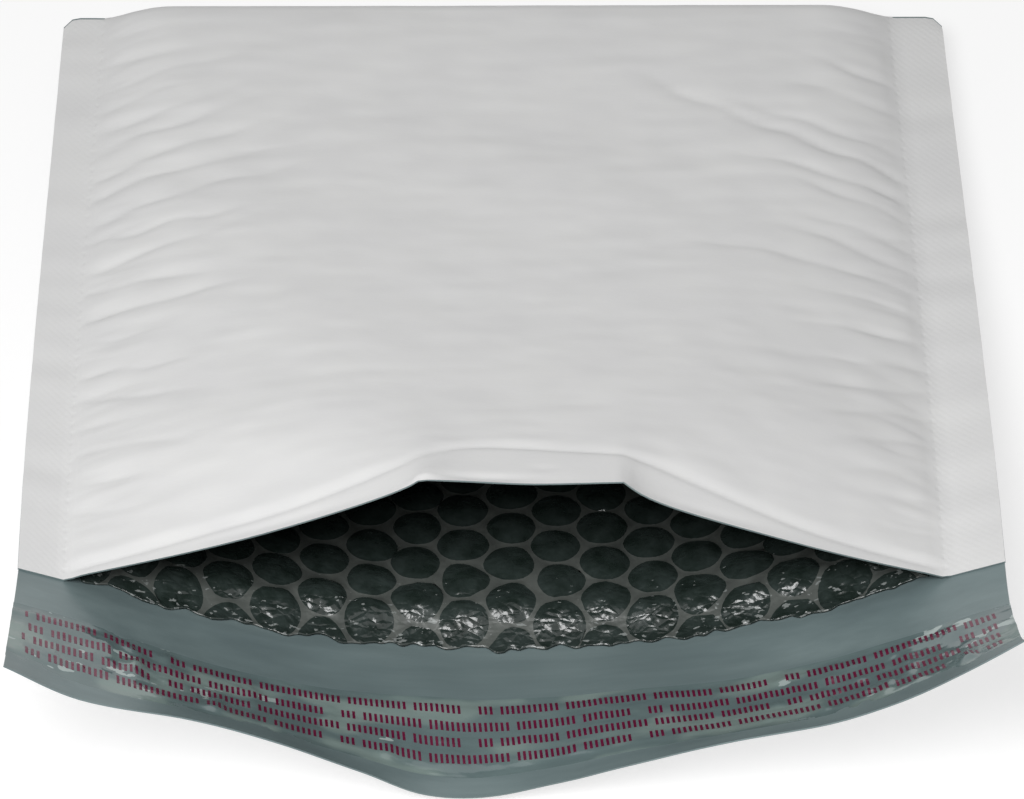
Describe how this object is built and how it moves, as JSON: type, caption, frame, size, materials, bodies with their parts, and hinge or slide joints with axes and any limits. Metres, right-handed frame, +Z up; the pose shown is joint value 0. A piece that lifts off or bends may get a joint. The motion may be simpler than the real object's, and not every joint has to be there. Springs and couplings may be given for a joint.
{
  "type": "padded envelope",
  "caption": "Padded mailing envelope of film with a bubble liner, open at the mouth, with a self-seal flap under a peel-off strip.",
  "frame": {"origin": "middle of the bounding box, at the level of the table the envelope lies on", "axes": "+Y from the open mouth to the closed fold, +Z up through the front wall, +X to the right as seen from the mouth"},
  "size_m": [0.184, 0.241, 0.04],
  "materials": {
    "outer_film": "satin",
    "bubble_liner": "gloss",
    "adhesive_strip": "satin",
    "release_liner": "gloss"
  },
  "bodies": {
    "root": {"outer_film": "outer_film", "bubble_liner": "bubble_liner", "adhesive_strip": "adhesive_strip", "release_liner": "release_liner"}
  },
  "joints": []
}
